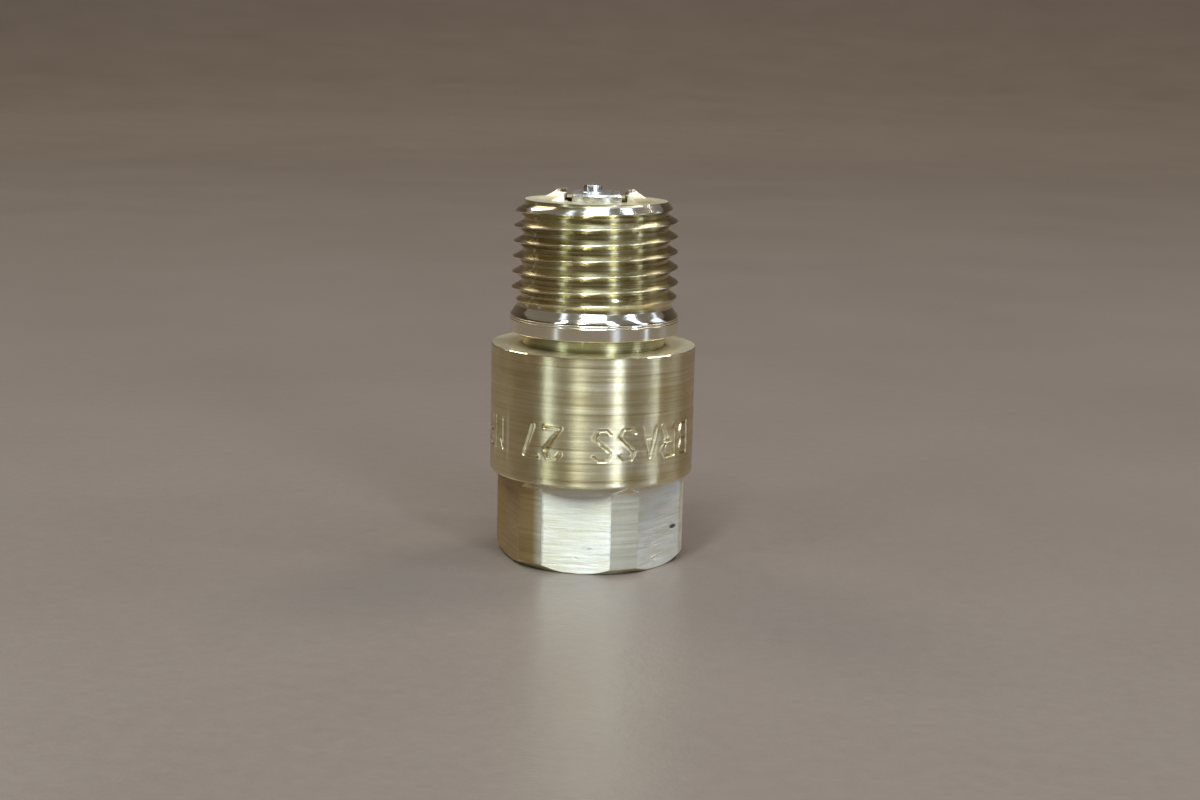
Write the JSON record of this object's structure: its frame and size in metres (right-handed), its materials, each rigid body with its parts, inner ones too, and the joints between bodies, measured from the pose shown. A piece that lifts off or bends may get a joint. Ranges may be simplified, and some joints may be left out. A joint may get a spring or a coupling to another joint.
{
  "type": "full-cone spray nozzle with male pipe thread",
  "caption": "Turned brass full-cone spray nozzle with a tapered male inlet thread, round collar, wrench flats on the outlet end and a fluted vane staked in the inlet.",
  "frame": {"origin": "centre of the flat outlet face, which the nozzle stands on", "axes": "+Z along the nozzle's axis from the outlet face to the threaded inlet; -Y out of one wrench flat"},
  "size_m": [0.0126, 0.0126, 0.0232],
  "materials": {
    "body_brass": "bright turned, light tool marks",
    "vane_brass": "bright turned and milled"
  },
  "bodies": {
    "root": {"nozzle_body": "body_brass", "vane": "vane_brass"}
  },
  "joints": []
}
